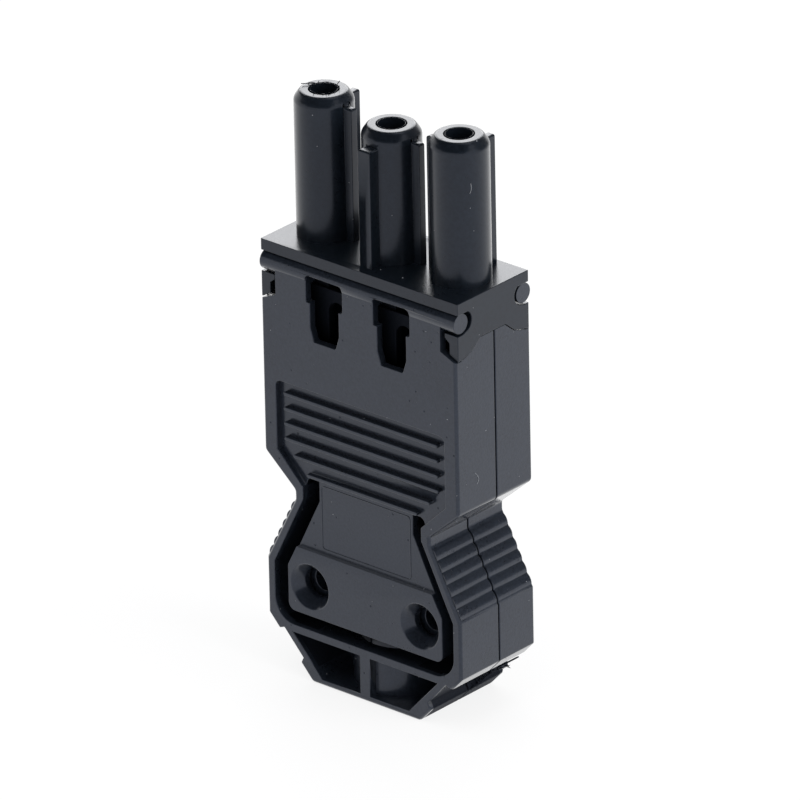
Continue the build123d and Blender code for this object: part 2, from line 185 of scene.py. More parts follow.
def noise(graph, place, size, detail=2.0, roughness=0.5):
    """Noise from 0 to 1 whose blotches are about the given size across."""
    values = {"Vector": place, "Scale": 1.0 / size, "Detail": detail, "Roughness": roughness}
    return graph.node("ShaderNodeTexNoise", {}, values)


def ramp(graph, wire, low_end, high_end):
    """Zero below one end, one above the other and smooth between them."""
    values = {"Value": wire, "From Min": low_end, "From Max": high_end}
    return graph.node("ShaderNodeMapRange", {"interpolation_type": "SMOOTHSTEP"}, values)


def mix_color(graph, amount, first, second):
    return graph.node("ShaderNodeMix", {"data_type": "RGBA"}, {0: amount, 6: first, 7: second}, 2)


def end_surface(graph, inputs):
    shader = graph.node("ShaderNodeBsdfPrincipled", {}, inputs)
    graph.node("ShaderNodeOutputMaterial", {}, {"Surface": shader})


def rgba(color, share=1.0):
    return (color[0] * share, color[1] * share, color[2] * share, 1.0)


# How far from its centre a pit's floor and its rim end, in widths of the pit
PIT_FLOOR, PIT_RIM = 0.3, 0.6

# Noise values between which a mottled or tarnished surface turns from one colour to the other
MOTTLE_TURN = (0.3, 0.7)
TARNISH_TURN = (0.35, 0.75)

# A tool mark runs round its piece, so its pattern is stretched sideways
TOOL_MARK_SCALE = (0.06, 0.06, 1.0)


def pits(graph, place, look):
    """One on small round pits, strewn by a cell pattern, and zero between them."""
    values = {"Vector": place, "Scale": 1.0 / look.pit_spacing}
    distance = graph.node("ShaderNodeTexVoronoi", {}, values)
    chance = graph.node("ShaderNodeSeparateColor", {}, {"Color": distance.output("Color")})
    near = 1.0 - ramp(graph, distance * look.pit_spacing, look.pit_size * PIT_FLOOR, look.pit_size * PIT_RIM)
    return near * (chance > 1.0 - look.pit_share)


def dull_and_shaded_zone(graph, place, look):
    """One in the hollows that the mould's polish doesn't reach, where the plastic is rougher and its colour
    is darkened as painted shade, and zero elsewhere.
    """
    across = graph.node("ShaderNodeSeparateXYZ", {}, {"Vector": place})
    aside, deep = abs(across.output("X")), abs(across.output("Y"))
    band = (aside > look.dull_inner) * (aside < look.dull_half_width)
    return (across.output("Z") < look.dull_height) * band * (deep < look.dull_half_depth)


def moulded_plastic(name, look):
    """Black moulded plastic: spark-eroded grain, faint flow marks, small pits, and dull hollows whose colour
    is darkened as painted shade.
    """
    material, graph = new_material(name)
    place = object_place(graph)
    flow = noise(graph, place, look.flow_size, 3.0)
    grain = noise(graph, place, look.grain_size, 2.0, 0.6)
    mottle = ramp(graph, grain * look.grain_share + flow * (1.0 - look.grain_share), *MOTTLE_TURN)
    pit = pits(graph, place, look)
    # dull is one in the hollows: there the plastic is rougher, and its colour is darkened as painted shade
    dull = dull_and_shaded_zone(graph, place, look)
    ends = rgba(look.color, 1.0 - look.mottling), rgba(look.color, 1.0 + look.mottling)
    # Painted shade: in the hollows the colour keeps only a share of itself, standing in for the shade that
    # falls there
    color = mix_color(graph, dull, mix_color(graph, mottle, *ends), rgba(look.color, look.hollow_painted_shade))
    rough = look.roughness + (flow - 0.5) * look.rough_spread + (grain - 0.5) * look.rough_spread
    rough = rough + pit * look.pit_roughness + dull * look.dull_roughness
    height = grain - pit * look.pit_depth
    values = {"Strength": look.grain_strength, "Distance": look.grain_depth, "Height": height}
    bump = graph.node("ShaderNodeBump", {}, values)
    skin = (1.0 - pit * look.pit_bareness) * (1.0 - dull)
    surface = {"Base Color": color, "Roughness": rough, "Normal": bump, "IOR": look.ior}
    surface |= {"Coat Weight": skin, "Coat IOR": look.skin_ior, "Coat Roughness": look.skin_roughness}
    end_surface(graph, surface | {"Specular Tint": rgba(look.sheen_color)})
    return material


def worked_metal(name, look):
    """Turned or stamped metal: fine lines along the cut, and patches of tarnish."""
    material, graph = new_material(name)
    place = object_place(graph)
    stretched = graph.node("ShaderNodeMapping", {}, {"Vector": place, "Scale": TOOL_MARK_SCALE})
    lines = noise(graph, stretched, look.line_size, 2.0)
    patches = noise(graph, place, look.patch_size, 3.0)
    color = mix_color(graph, ramp(graph, patches, *TARNISH_TURN), rgba(look.color), rgba(look.tarnish))
    rough = look.roughness + (lines - 0.5) * look.line_roughness + (patches - 0.5) * look.patch_roughness
    values = {"Strength": look.line_strength, "Distance": look.line_depth, "Height": lines}
    bump = graph.node("ShaderNodeBump", {}, values)
    end_surface(graph, {"Base Color": color, "Metallic": 1.0, "Roughness": rough, "Normal": bump})
    return material


def lint_fibre(name, look):
    """A pale fibre, a little lighter in places."""
    material, graph = new_material(name)
    patches = noise(graph, object_place(graph), look.patch_size, 2.0)
    color = mix_color(graph, patches, rgba(look.color, look.shade), rgba(look.color))
    rough = look.roughness + patches * look.rough_spread
    end_surface(graph, {"Base Color": color, "Roughness": rough})
    return material


# Meshes


def link_piece(name, mesh, material, slot):
    """Puts a finished mesh in the scene as a piece that moves with the connector."""
    piece = bpy.data.objects.new(name, mesh)
    bpy.context.scene.collection.objects.link(piece)
    mesh.materials.clear()
    mesh.materials.append(material)
    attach(piece, BODY)
    return piece


def evaluated_mesh(holder):
    """The holder's mesh with its modifiers applied; the holder itself is removed."""
    graph = bpy.context.evaluated_depsgraph_get()
    result = bpy.data.meshes.new_from_object(holder.evaluated_get(graph), depsgraph=graph)
    bpy.data.objects.remove(holder)
    return result


def welded_copy(node, softness):
    """A copy of a node's mesh with its doubles merged and its flat faces whole.

    Its sharp edges are weighted for rounding: softness gives an edge's share of the full width.
    """
    mesh = frame["nodes"][node].data.copy()
    work = bmesh.new()
    work.from_mesh(mesh)
    bmesh.ops.remove_doubles(work, verts=work.verts, dist=WELD)
    bmesh.ops.dissolve_limit(work, angle_limit=FLAT, verts=work.verts, edges=work.edges, delimit={"NORMAL"})
    weight = work.edges.layers.float.new("bevel_weight_edge")
    for face in work.faces:
        face.smooth = True
    for edge in work.edges:
        if edge.is_manifold and edge.calc_face_angle() > SHARP:
            edge[weight] = softness(edge.verts[0].co, edge.verts[1].co, edge.is_convex)
            edge.smooth = edge[weight] > 0
    work.to_mesh(mesh)
    work.free()
    return mesh


def rounded(mesh, width, steps):
    """The mesh with its weighted edges rounded, as a mould leaves them, and its flat faces kept flat."""
    holder = bpy.data.objects.new("rounding", mesh)
    bpy.context.scene.collection.objects.link(holder)
    edge = holder.modifiers.new("edges", "BEVEL")
    edge.width = width
    edge.segments = steps
    edge.limit_method = "WEIGHT"
    edge.use_clamp_overlap = False
    edge.miter_outer = "MITER_ARC"
    shading = holder.modifiers.new("shading", "WEIGHTED_NORMAL")
    shading.weight = 100
    shading.keep_sharp = True
    return evaluated_mesh(holder)


def evenly(start, end, outer):
    """The same rounding on every edge."""
    return 1.0


def as_it_is(mesh):
    """Leaves the mesh unchanged."""


# Steps of a rounded edge
MOULDING_STEPS, METAL_STEPS = 3, 2


def dress_node(node, name, material, slot, width, steps, softness=evenly, fit=as_it_is):
    """Stands a rounded, finished copy in for a plain node."""
    mesh = welded_copy(node, softness)
    fit(mesh)
    mesh = rounded(mesh, width, steps)
    mesh.name = name
    piece = link_piece(name, mesh, material, slot)
    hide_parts(node)
    return piece


# Geometry trees

# Steps of the curves that the trees draw, and sides of the round wires along them
RIM_STEPS, BEND_STEPS, CORNER_STEPS = 72, 12, 4
LIP_SIDES, FIBRE_SIDES, LINE_SIDES = 5, 6, 8

# A sliver's root radius as a share of its length, and the least and greatest of its turns and scales
SLIVER_ROOT = 0.22
SLIVER_TURNS = ((-1.2, -1.2, 0.0), (1.2, 1.2, 6.28))
SLIVER_SCALES = ((0.4, 0.4, 0.3), (1.5, 0.7, 1.2))

# Fineness of the noise that makes a mouth's lip ragged, and how far it shifts the lip, in radii of the lip
RAGGED_SCALE, RAGGED_REACH = 1500.0, 4.0

# A crumb's least and greatest scale
CRUMB_SCALES = ((0.3, 0.3, 0.3), (1.0, 1.0, 1.0))


def new_tree(name, inputs):
    """A geometry tree with a named input for each size, its graph, and the inputs as wires."""
    tree = bpy.data.node_groups.new(name, "GeometryNodeTree")
    tree.interface.new_socket("Geometry", in_out="OUTPUT", socket_type="NodeSocketGeometry")
    for label, kind in inputs.items():
        tree.interface.new_socket(label, in_out="INPUT", socket_type=f"NodeSocket{kind}")
    graph = Graph(tree)
    start = graph.node("NodeGroupInput")
    return graph, {label: start.output(label) for label in inputs}


def gathered(meshes):
    """One mesh out of several, and the several removed."""
    work = bmesh.new()
    for mesh in meshes:
        work.from_mesh(mesh)
    whole = bpy.data.meshes.new("gathered")
    work.to_mesh(whole)
    work.free()
    for mesh in meshes:
        bpy.data.meshes.remove(mesh)
    return whole


def end_tree(graph, shape, material):
    real = graph.node("GeometryNodeRealizeInstances", {}, {"Geometry": shape})
    dressed = graph.node("GeometryNodeSetMaterial", {}, {"Geometry": real, "Material": material})
    graph.node("NodeGroupOutput", {}, {"Geometry": dressed})


def grow(name, graph, values):
    """The plain mesh that a geometry tree makes with the given input values."""
    holder = bpy.data.objects.new(name, bpy.data.meshes.new(name))
    bpy.context.scene.collection.objects.link(holder)
    growth = holder.modifiers.new("growth", "NODES")
    growth.node_group = graph.tree
    for item in graph.tree.interface.items_tree:
        if item.in_out == "INPUT":
            growth[item.identifier] = values[item.name]
    return evaluated_mesh(holder)


def swept(graph, path, radius, sides):
    """A round wire along a path."""
    ring = graph.node("GeometryNodeCurvePrimitiveCircle", {}, {"Resolution": sides, "Radius": radius})
    inputs = {"Curve": path, "Profile Curve": ring, "Fill Caps": True}
    return graph.node("GeometryNodeCurveToMesh", {}, inputs)


def random_vector(graph, ends, seed):
    inputs = {0: ends[0], 1: ends[1], "Seed": seed}
    return graph.node("FunctionNodeRandomValue", {"data_type": "FLOAT_VECTOR"}, inputs)


def random_choice(graph, share, seed):
    inputs = {"Probability": share, "Seed": seed}
    return graph.node("FunctionNodeRandomValue", {"data_type": "BOOLEAN"}, inputs, 3)


# What every tree that strews torn slivers takes
SLIVER_SIZES = {"Count": "Int", "Sliver": "Float", "Share": "Float", "Seed": "Int"}


def torn_slivers(graph, size, path):
    """Small pointed slivers that lean every way, strewn along a path."""
    along = {"Curve": path, "Count": size["Count"]}
    points = graph.node("GeometryNodeCurveToPoints", {"mode": "COUNT"}, along)
    body = {"Vertices": 4, "Radius Bottom": size["Sliver"] * SLIVER_ROOT, "Radius Top": 0.0}
    sliver = graph.node("GeometryNodeMeshCone", {}, body | {"Depth": size["Sliver"]})
    inputs = {"Points": points, "Instance": sliver}
    inputs["Rotation"] = random_vector(graph, SLIVER_TURNS, size["Seed"])
    inputs["Scale"] = random_vector(graph, SLIVER_SCALES, size["Seed"] + 1.0)
    inputs["Selection"] = random_choice(graph, size["Share"], size["Seed"])
    return graph.node("GeometryNodeInstanceOnPoints", {}, inputs)


def mouth_tree(material):
    """A ragged lip round a tube's mouth, with torn slivers of flash on it."""
    sizes = {"Rim": "Float", "Lip": "Float", "Place": "Vector"}
    graph, size = new_tree("mouth_flash", SLIVER_SIZES | sizes)
    circle = {"Resolution": RIM_STEPS, "Radius": size["Rim"]}
    rim = graph.node("GeometryNodeCurvePrimitiveCircle", {}, circle)
    place = graph.node("GeometryNodeInputPosition")
    values = {"Vector": place, "W": size["Seed"], "Scale": RAGGED_SCALE}
    ragged = graph.node("ShaderNodeTexNoise", {"noise_dimensions": "4D"}, values).output("Color")
    halves = {0: ragged, 1: (0.5, 0.5, 0.5)}
    centred = graph.node("ShaderNodeVectorMath", {"operation": "SUBTRACT"}, halves)
    reached = {0: centred, "Scale": size["Lip"] * RAGGED_REACH}
    shift = graph.node("ShaderNodeVectorMath", {"operation": "SCALE"}, reached)
    rim = graph.node("GeometryNodeSetPosition", {}, {"Geometry": rim, "Offset": shift})
    parts = graph.node("GeometryNodeJoinGeometry")
    graph.join(parts, swept(graph, rim, size["Lip"], LIP_SIDES), torn_slivers(graph, size, rim))
    moved = graph.node("GeometryNodeTransform", {}, {"Geometry": parts, "Translation": size["Place"]})
    end_tree(graph, moved, material)
    return graph


def seam_tree(material):
    """Torn slivers of flash along a straight stretch."""
    graph, size = new_tree("seam_flash", SLIVER_SIZES | {"Start": "Vector", "End": "Vector"})
    line = graph.node("GeometryNodeCurvePrimitiveLine", {}, {"Start": size["Start"], "End": size["End"]})
    end_tree(graph, torn_slivers(graph, size, line), material)
    return graph


def outline_tree(material):
    """A thin raised line round an upright rectangle."""
    sizes = {"Width": "Float", "Height": "Float", "Corner": "Float", "Line": "Float", "Place": "Vector"}
    graph, size = new_tree("plate_outline", sizes)
    shape = {"Width": size["Width"], "Height": size["Height"]}
    box = graph.node("GeometryNodeCurvePrimitiveQuadrilateral", {}, shape)
    corners = {"Curve": box, "Radius": size["Corner"], "Count": CORNER_STEPS}
    path = graph.node("GeometryNodeFilletCurve", {"mode": "POLY"}, corners)
    upright = {"Geometry": path, "Translation": size["Place"], "Rotation": (math.pi / 2, 0, 0)}
    path = graph.node("GeometryNodeTransform", {}, upright)
    end_tree(graph, swept(graph, path, size["Line"], LINE_SIDES), material)
    return graph


def fibre_tree(material):
    """A thin fibre bent through three points."""
    sizes = {"Start": "Vector", "Bend": "Vector", "End": "Vector", "Thickness": "Float"}
    graph, size = new_tree("fibre", sizes)
    ends = {"Resolution": BEND_STEPS, "Start": size["Start"], "Middle": size["Bend"], "End": size["End"]}
    path = graph.node("GeometryNodeCurveQuadraticBezier", {}, ends)
    end_tree(graph, swept(graph, path, size["Thickness"], FIBRE_SIDES), material)
    return graph


def dust_tree(material):
    """Tiny crumbs strewn over a moulding's faces."""
    sizes = {"Moulding": "Object", "Density": "Float", "Crumb": "Float", "Seed": "Int"}
    graph, size = new_tree("dust", sizes)
    shape = graph.node("GeometryNodeObjectInfo", {}, {"Object": size["Moulding"]}, "Geometry")
    spread = {"Mesh": shape, "Density": size["Density"], "Seed": size["Seed"]}
    points = graph.node("GeometryNodeDistributePointsOnFaces", {}, spread)
    crumb = graph.node("GeometryNodeMeshIcoSphere", {}, {"Radius": size["Crumb"], "Subdivisions": 1})
    scale = random_vector(graph, CRUMB_SCALES, size["Seed"])
    inputs = {"Points": points, "Instance": crumb, "Scale": scale}
    end_tree(graph, graph.node("GeometryNodeInstanceOnPoints", {}, inputs), material)
    return graph


# Settings that a user would change


def a_length(name, description, default, least=0.0):
    values = {"default": default, "min": least, "precision": 6, "unit": "LENGTH"}
    return FloatProperty(name=name, description=description, **values)


def a_share(name, description, default):
    values = {"default": default, "min": 0, "max": 1, "subtype": "FACTOR"}
    return FloatProperty(name=name, description=description, **values)


def a_number(name, description, default, unit="NONE"):
    return FloatProperty(name=name, description=description, default=default, unit=unit)


def a_count(name, description, default):
    return IntProperty(name=name, description=description, default=default, min=1)


def an_angle(name, description, degrees):
    return FloatProperty(name=name, description=description, default=math.radians(degrees), subtype="ANGLE")


def a_color(name, description, default):
    return FloatVectorProperty(name=name, description=description, default=default, size=3, subtype="COLOR")


class PlasticLook:
    """What both plastics share"""

    flow_size: a_length("Flow size", "Width of the flow marks", 0.006)
    pit_spacing: a_length("Pit spacing", "Mean distance of the pits", 0.0011)
    pit_size: a_length("Pit size", "Width of a pit", 0.00027)
    pit_depth: a_number("Pit depth", "Depth of a pit, in heights of the grain", 3.0)
    pit_roughness: a_share("Pit roughness", "How much rougher a pit is", 0.3)
    pit_bareness: a_share("Pit bareness", "Share of the smooth skin that a pit lacks", 0.9)
    grain_share: a_share("Grain share", "Share of the mottling that the grain gives", 0.75)
    rough_spread: a_share("Roughness spread", "How much grain and flow marks vary the roughness", 0.1)
    # Painted shade: the share of its colour that a hollow keeps, darkened where shade falls
    hollow_painted_shade: a_share("Dull shade", "Share of its colour that a dull hollow keeps", 0.25)
    dull_roughness: a_share("Dull roughness", "How much rougher a dull hollow is", 0.4)
    sheen_color: a_color("Sheen colour", "Tint of the plastic's own reflection", (0.6, 0.7, 1.0))


class ShellLook(PlasticLook, PropertyGroup):
    """The half shells' plastic, with dull hollows in the nose whose colour is darkened as painted shade"""

    color: a_color("Colour", "Colour of the half shells", (0.009, 0.0115, 0.0165))
    mottling: a_share("Mottling", "How much the colour varies", 0.3)
    roughness: a_share("Roughness", "Mean surface roughness", 0.3)
    skin_roughness: a_share("Skin roughness", "Roughness of the smooth moulding skin", 0.16)
    dull_height: a_length("Dull height", "Height below which the nose's hollows are dull", 0.0066)
    dull_inner: a_length("Dull inner", "How far from the middle the dull hollows begin", 0.0075)
    dull_half_width: a_length("Dull half width", "How far to each side the dull hollows reach", 0.0128)
    dull_half_depth: a_length("Dull half depth", "How far to front and back the dull hollows reach", 0.0058)
    ior: a_number("Index of refraction", "Sets how strongly it reflects", 1.4)
    skin_ior: a_number("Skin index", "Index of refraction of the smooth moulding skin", 1.3)
    grain_size: a_length("Grain size", "Width of one grain", 0.0003)
    grain_depth: a_length("Grain depth", "Height of the grain", 0.00002)
    grain_strength: a_share("Grain strength", "How much the grain shows", 0.8)
    pit_share: a_share("Pit share", "Share of places that hold a pit", 0.3)


class InsertLook(PlasticLook, PropertyGroup):
    """The socket insert's plastic, with dull terminal towers whose colour is darkened as painted shade"""

    color: a_color("Colour", "Colour of the socket insert", (0.0045, 0.0065, 0.0095))
    mottling: a_share("Mottling", "How much the colour varies", 0.25)
    roughness: a_share("Roughness", "Mean surface roughness", 0.3)
    skin_roughness: a_share("Skin roughness", "Roughness of the smooth moulding skin", 0.22)
    dull_height: a_length("Dull height", "Height below which the towers are dull", 0.0506)
    dull_inner: a_length("Dull inner", "How far from the middle the dull towers begin", 0.0)
    dull_half_width: a_length("Dull half width", "How far to each side the dull towers reach", 0.0135)
    dull_half_depth: a_length("Dull half depth", "How far to front and back the dull towers reach", 0.0043)
    ior: a_number("Index of refraction", "Sets how strongly it reflects", 1.32)
    skin_ior: a_number("Skin index", "Index of refraction of the smooth moulding skin", 1.27)
    grain_size: a_length("Grain size", "Width of one grain", 0.0005)
    grain_depth: a_length("Grain depth", "Height of the grain", 0.00001)
    grain_strength: a_share("Grain strength", "How much the grain shows", 0.12)
    pit_share: a_share("Pit share", "Share of places that hold a pit", 0.04)


class MetalLook:
    """What all metals share"""

    line_size: a_length("Line size", "Width of a tool mark", 0.00005)
    line_depth: a_length("Line depth", "Depth of a tool mark", 0.000005)
    line_strength: a_share("Line strength", "How much the tool marks show", 0.25)
    line_roughness: a_share("Line roughness", "How much the tool marks vary the roughness", 0.15)
    patch_size: a_length("Patch size", "Width of a dull patch", 0.002)
    patch_roughness: a_share("Patch roughness", "How much the patches vary the roughness", 0.12)


class ContactLook(MetalLook, PropertyGroup):
    """The sleeves' plated brass"""

    color: a_color("Colour", "Clean plated brass", (0.36, 0.34, 0.3))
    tarnish: a_color("Tarnish", "Dull plated brass", (0.16, 0.15, 0.13))
    roughness: a_share("Roughness", "Mean surface roughness", 0.4)


class BrassLook(MetalLook, PropertyGroup):
    """The clamp cages' bare brass"""

    color: a_color("Colour", "Clean brass", (0.75, 0.62, 0.35))
    tarnish: a_color("Tarnish", "Dull brass", (0.5, 0.38, 0.2))
    roughness: a_share("Roughness", "Mean surface roughness", 0.3)


class SteelLook(MetalLook, PropertyGroup):
    """The steel of the screws, springs and wire guards"""

    color: a_color("Colour", "Clean zinc-plated steel", (0.6, 0.6, 0.61))
    tarnish: a_color("Tarnish", "Dull zinc", (0.42, 0.42, 0.44))
    roughness: a_share("Roughness", "Mean surface roughness", 0.3)


class LintLook(PropertyGroup):
    """Fibres and crumbs on the mouldings"""

    color: a_color("Colour", "Colour of the fibres and crumbs", (0.22, 0.23, 0.25))
    shade: a_share("Shade", "Share of the colour that a darker patch keeps", 0.7)
    roughness: a_share("Roughness", "Least surface roughness", 0.5)
    rough_spread: a_share("Roughness spread", "How much rougher a lighter patch is", 0.3)
    thickness: a_length("Thickness", "Radius of a fibre", 0.00003)
    patch_size: a_length("Patch size", "Length of a lighter patch", 0.0006)
    crumb: a_length("Crumb", "Radius of the largest crumbs", 0.00009)
    density: a_number("Density", "Crumbs on each square metre", 16000.0)


class FlashSettings(PropertyGroup):
    """Sizes of the moulding flash"""

    rim: a_length("Rim", "Radius of the lip round a tube's mouth", 0.00158)
    lip: a_length("Lip", "Radius of the lip's own section", 0.000025)
    sliver: a_length("Sliver", "Length of the longest slivers", 0.0006)
    mouth_count: a_count("Mouth count", "Places for a sliver round a tube's mouth", 48)
    nose_count: a_count("Nose count", "Places for a sliver on each stretch of the nose", 34)
    nose_share: a_share("Nose share", "Share of the nose's places that hold a sliver", 0.8)
    mouth_whisker: a_length("Mouth whisker", "Radius of a whisker at a tube's mouth", 0.00005)
    nose_whisker: a_length("Nose whisker", "Radius of a whisker at the nose", 0.0001)


class PlateSettings(PropertyGroup):
    """Sizes of the bare plate on the tongue"""

    width: a_length("Width", "Width of the bare plate that the tongue carries", 0.0132)
    height: a_length("Height", "Height of the bare plate", 0.00785)
    low_edge: a_length("Low edge", "Height of the plate's lower edge", 0.017)
    corner: a_length("Corner", "Corner radius of the plate", 0.0004)
    face: a_length("Face", "How far forward of the middle the tongue's face lies", 0.0057)
    line: a_length("Line", "Radius of the line that the mould's plate leaves", 0.00006)


class StageSettings(PropertyGroup):
    """Camera, floor, sky, lamps and cards"""

    azimuth: an_angle("Azimuth", "Camera's turn from the front", 41.332)
    elevation: an_angle("Elevation", "Camera's height angle", 24.897)
    roll: an_angle("Roll", "Camera's turn about its own view", -1.144)
    distance: a_length("Distance", "Camera's distance", 1.6645)
    focal_length: a_number("Focal length", "Camera's focal length", 664.2, "CAMERA")
    aim_height: a_length("Aim", "Height of the point that the camera looks at", 0.036)
    aside: a_length("Aside", "Camera's offset to the right", 0.000357, -0.1)
    above: a_length("Above", "Camera's offset upwards", -0.000545, -0.1)
    floor_radius: a_length("Floor radius", "Size of the round floor", 0.9)
    floor_color: a_color("Floor colour", "Colour of the floor", (0.85, 0.85, 0.86))
    floor_glow: a_share("Floor glow", "Share of the floor that shows as plain white", 0.82)
    sky: a_share("Sky", "Strength of the even light all round", 0.75)
    back_card: a_share("Back card", "Greyness of the card behind the right shoulder", 0.155)
    front_card: a_share("Front cards", "Greyness of the cards above the camera and at the left", 0.02)
    back_power: a_number("Back lamp", "Power of the lamp behind", 1.7, "POWER")
    side_power: a_number("Side lamp", "Power of the lamp at the right", 4.0, "POWER")
    top_power: a_number("Top lamp", "Power of the lamp above", 0.8, "POWER")


class ConnectorSettings(PropertyGroup):
    """Roundings, the cheeks' hooks, and every look"""

    shell_edge: a_length("Shell edges", "Rounding of the half shells' edges", 0.00012)
    crisp_share: a_share("Crisp share", "Share of the rounding that the shells' crisp corners get", 0.3)
    crisp_depth: a_length("Crisp depth", "Height of the shells' crisp corners beside the cheeks", 0.0095)
    crisp_width: a_length("Crisp width", "Width of the shells' crisp corners beside the cheeks", 0.0026)
    insert_edge: a_length("Insert edges", "Rounding of the insert's edges", 0.00008)
    hook_face: a_length("Hook face", "How far from the middle the face of a cheek's hook begins", 0.00605)
    hook_width: a_length("Hook width", "Width of a cheek's hook", 0.0014)
    hook_height: a_length("Hook height", "Height of the top of a hook's slanted foot", 0.0474)
    hook_drop: a_length("Hook drop", "How much lower the face of a hook reaches than its root", 0.00027)
    shoulder_edge: a_length("Shoulder edges", "Rounding of the tubes' shoulders", 0.00028)
    shoulder_depth: a_length("Shoulder depth", "How far below the highest tube end the shoulders lie", 0.0035)
    mouth_radius: a_length("Mouth radius", "Radius inside which a tube's mouth keeps its crisp rim", 0.0018)
    metal_edge: a_length("Metal edges", "Rounding of the metal pieces' edges", 0.00005)
    shell: PointerProperty(type=ShellLook)
    insert: PointerProperty(type=InsertLook)
    contact: PointerProperty(type=ContactLook)
    brass: PointerProperty(type=BrassLook)
    steel: PointerProperty(type=SteelLook)
    lint: PointerProperty(type=LintLook)
    flash: PointerProperty(type=FlashSettings)
    plate: PointerProperty(type=PlateSettings)
    stage: PointerProperty(type=StageSettings)


def settings():
    return bpy.context.scene.connector


# One operator for each group of pieces


# The thin strips beside the side grips: how far out they begin, and the bands of depth and height they fill
STRIP_SIDE = 0.0101
STRIP_DEPTH = (0.0061, 0.0063)
STRIP_HEIGHT = (0.01399, 0.02235)


def beside_grip(start, end):
    """True on the edges of the strips beside the side grips, which are too thin to be rounded."""
    out = min(abs(start.x), abs(end.x)) > STRIP_SIDE
    deep = STRIP_DEPTH[0] < min(abs(start.y), abs(end.y)) < STRIP_DEPTH[1]
    return out and deep and STRIP_HEIGHT[0] < min(start.z, end.z) and max(start.z, end.z) < STRIP_HEIGHT[1]


class MakeShells(Operator):
    """Finish the front and rear half shells"""

    bl_idname = "connector.make_shells"
    bl_label = "Half shells"

    def execute(self, context):
        sizes = settings()
        material = moulded_plastic("shell_plastic", sizes.shell)
        side, top = high("front_shell")[0], high("front_shell")[2]

        def softness(start, end, outer):
            if not outer or beside_grip(start, end):
                return 0.0
            high_up = min(start.z, end.z) > top - sizes.crisp_depth
            by_cheek = min(abs(start.x), abs(end.x)) > side - sizes.crisp_width
            return sizes.crisp_share if high_up and by_cheek else 1.0

        for shell in ("front", "rear"):
            names = f"{shell}_shell", f"{shell}_moulding"
            dress_node(*names, material, "shell_black", sizes.shell_edge, MOULDING_STEPS, softness)
        return {"FINISHED"}


class MakeInsert(Operator):
    """Finish the socket insert, with softer shoulders at the tubes' mouths and hooks that hang lower"""

    bl_idname = "connector.make_insert"
    bl_label = "Socket insert"

    def execute(self, context):
        sizes = settings()
        material = moulded_plastic("insert_plastic", sizes.insert)
        crisp = sizes.insert_edge / sizes.shoulder_edge
        shoulder = high("socket_insert")[2] - sizes.shoulder_depth

        def softness(start, end, outer):
            level = abs(start.z - end.z) < WELD and start.z > shoulder
            wide = sizes.mouth_radius < min(reach(start), reach(end))
            return (1.0 if level and wide else crisp) if outer else 0.0

        def let_hooks_down(mesh):
            side = high("socket_insert")[0] - sizes.hook_width
            for point in mesh.vertices:
                spot = point.co
                if sizes.hook_face < abs(spot.y) and side < abs(spot.x) and spot.z < sizes.hook_height:
                    spot.z -= sizes.hook_drop

        rounding = sizes.shoulder_edge, MOULDING_STEPS, softness
        dress_node("socket_insert", "insert_moulding", material, "insert_black", *rounding, let_hooks_down)
        return {"FINISHED"}


class MakeContacts(Operator):
    """Finish the sleeves, springs, clamps, screws and wire guards of all poles"""

    bl_idname = "connector.make_contacts"
    bl_label = "Contacts and clamps"

    def execute(self, context):
        sizes = settings()
        plated = worked_metal("plated_brass", sizes.contact)
        brass = worked_metal("bare_brass", sizes.brass)
        steel = worked_metal("zinc_steel", sizes.steel)
        kinds = (
            ("socket_contact", "sleeve", plated, "contact_brass"),
            ("contact_spring", "spring", steel, "spring_steel"),
            ("clamp_cage", "cage", brass, "clamp_brass"),
            ("clamp_screw", "screw", steel, "screw_steel"),
            ("wire_guard", "guard", steel, "spring_steel"),
        )
        for pole in POLES:
            for node, name, material, slot in kinds:
                names = f"{node}_{pole}", f"{name}_{pole}"
                dress_node(*names, material, slot, sizes.metal_edge, METAL_STEPS)
        return {"FINISHED"}


# A tube's rim lies within this distance of its axis, and its coding ribs don't
RIM_REACH = 0.0024

# Flash on each tube's mouth: share of the rim that is torn, length of a sliver as a share, and a seed
MOUTHS = {"neutral": (0.3, 0.8, 4), "earth": (0.08, 0.4, 7), "line": (0.08, 0.4, 12)}

# Whiskers of flash, each bent through three points: at the neutral tube's mouth, and at the nose's right side
MOUTH_WHISKERS = (
    ((-0.01260, -0.00090, 0.07125), (-0.01200, -0.00030, 0.07120), (-0.01120, 0.00070, 0.07110)),
    ((-0.01230, -0.00010, 0.07110), (-0.01190, 0.00020, 0.07135), (-0.01150, 0.00040, 0.07110)),
    ((-0.00930, 0.00130, 0.07100), (-0.00925, 0.00145, 0.07130), (-0.00900, 0.00160, 0.07170)),
)
NOSE_WHISKERS = (
    ((0.01220, 0.00260, 0.00458), (0.01230, 0.00440, 0.00470), (0.01220, 0.00610, 0.00460)),
    ((0.00800, 0.00230, 0.00070), (0.00800, 0.00160, 0.00046), (0.00800, 0.00106, 0.00016)),
)

# Torn flash at the nose's right side: two ends, length of a sliver as a share, and a seed
NOSE_SEAMS = (
    ((0.0094, 0.0040, 0.0027), (0.0100, 0.0066, 0.0026), 2.0, 3),
    ((0.0098, 0.0004, 0.0018), (0.0096, 0.0042, 0.0025), 1.3, 8),
)

# Fibres of lint on the side of the front shell and on the line tube, each bent through three points
FIBRES = (
    ((0.01449, -0.00348, 0.03184), (0.01452, -0.00247, 0.03085), (0.01449, -0.00317, 0.03036)),
    ((0.01304, -0.00167, 0.06635), (0.01312, -0.00150, 0.06560), (0.01298, -0.00179, 0.06515)),
)


